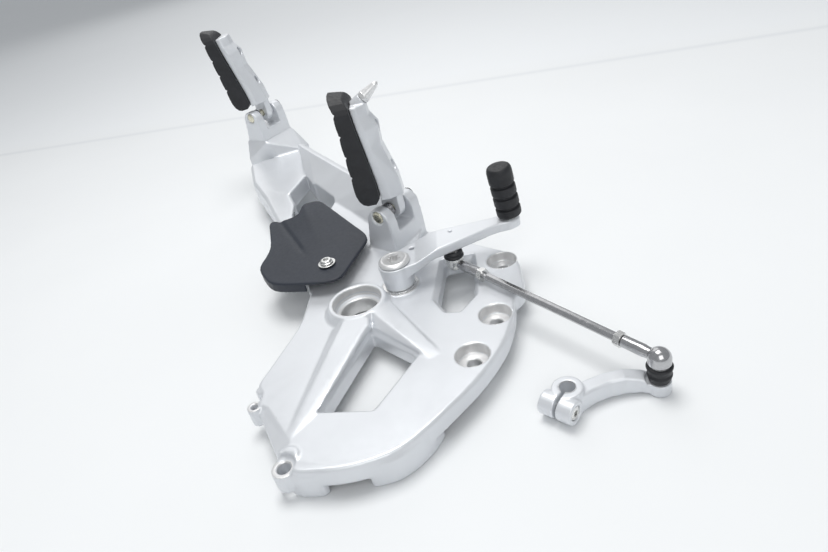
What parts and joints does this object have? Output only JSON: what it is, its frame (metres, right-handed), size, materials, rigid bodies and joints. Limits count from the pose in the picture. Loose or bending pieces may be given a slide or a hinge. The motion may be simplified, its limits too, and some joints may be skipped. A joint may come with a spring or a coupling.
{
  "type": "motorcycle footrest hanger",
  "caption": "Left-hand motorcycle footrest hanger: cast plate and pillion arm with folding rubber-topped pegs, heel guard and gear lever with link rod and clamp arm.",
  "frame": {"origin": "middle of the base of the whole assembly as it lies on its inner side", "axes": "+Z is outward from the motorcycle, -X is up and +Y is rearward when it is fitted"},
  "size_m": [0.3914, 0.575, 0.2052],
  "materials": {
    "silver_casting": "cast aluminium under silver paint",
    "guard_plastic": "dark grey satin moulded plastic",
    "rubber": "matt black moulded rubber",
    "bright_steel": "zinc plated steel",
    "dark_steel": "dark zinc plated steel",
    "bare_aluminium": "machined",
    "bronze": "sintered bronze"
  },
  "bodies": {
    "hanger": {"hanger_casting": "silver_casting", "heel_guard": "guard_plastic", "heel_guard_washer": "bright_steel", "heel_guard_screw": "bright_steel", "rider_peg_pin": "bright_steel", "rider_peg_pin_clip": "dark_steel", "rider_peg_spring": "dark_steel", "pillion_peg_pin": "bright_steel", "pillion_peg_pin_clip": "dark_steel", "pillion_peg_friction_washer": "dark_steel", "lever_thrust_washer": "bright_steel", "lever_pivot_screw": "bright_steel"},
    "rider_peg": {"rider_peg_body": "silver_casting", "rider_peg_pad": "rubber", "rider_pad_screw_lower": "bright_steel", "rider_pad_screw_upper": "bright_steel", "rider_feeler_bolt": "bare_aluminium"},
    "pillion_peg": {"pillion_peg_body": "silver_casting", "pillion_peg_pad": "rubber", "pillion_pad_screw_lower": "bright_steel", "pillion_pad_screw_upper": "bright_steel"},
    "lever": {"gear_lever": "silver_casting", "lever_bush": "bronze", "toe_peg_pin": "bright_steel", "toe_peg_rubber": "rubber", "lever_ball_stud": "bright_steel"},
    "link": {"link_rod_end_lever": "bright_steel", "link_jam_nut_lever": "bright_steel", "link_rod": "dark_steel", "link_jam_nut_arm": "bright_steel", "link_rod_end_arm": "bright_steel", "lever_ball_boot": "rubber", "arm_ball_boot": "rubber"},
    "clamp_arm": {"arm_ball_stud": "bright_steel", "selector_arm": "silver_casting", "selector_clamp_screw": "bright_steel"}
  },
  "joints": [
    {"name": "rider_peg_fold", "type": "hinge", "parent": "hanger", "child": "rider_peg", "pos_m": [0.01601, -0.02548, 0.0643], "axis": [-0.5948, -0.8039, 0], "range_deg": [0, 60], "stiffness_Nm_per_rad": 1.5, "springref_deg": -20.05},
    {"name": "pillion_peg_fold", "type": "hinge", "parent": "hanger", "child": "pillion_peg", "pos_m": [-0.15499, 0.25052, 0.0963], "axis": [-0.5948, -0.8039, 0], "range_deg": [0, 65]},
    {"name": "gear_lever_swing", "type": "hinge", "parent": "hanger", "child": "lever", "pos_m": [0.01621, -0.09847, 0.037], "axis": [0, 0, 1], "range_deg": [-12, 12]},
    {"name": "link_swivel_at_lever", "type": "hinge", "parent": "lever", "child": "link", "pos_m": [0.06521, -0.08918, 0.033], "axis": [0, 0, 1], "range_deg": [-5, 20]},
    {"name": "clamp_arm_swivel", "type": "hinge", "parent": "link", "child": "clamp_arm", "pos_m": [0.18791, -0.23867, 0.028], "axis": [0, 0, 1], "range_deg": [-25, 25]}
  ]
}
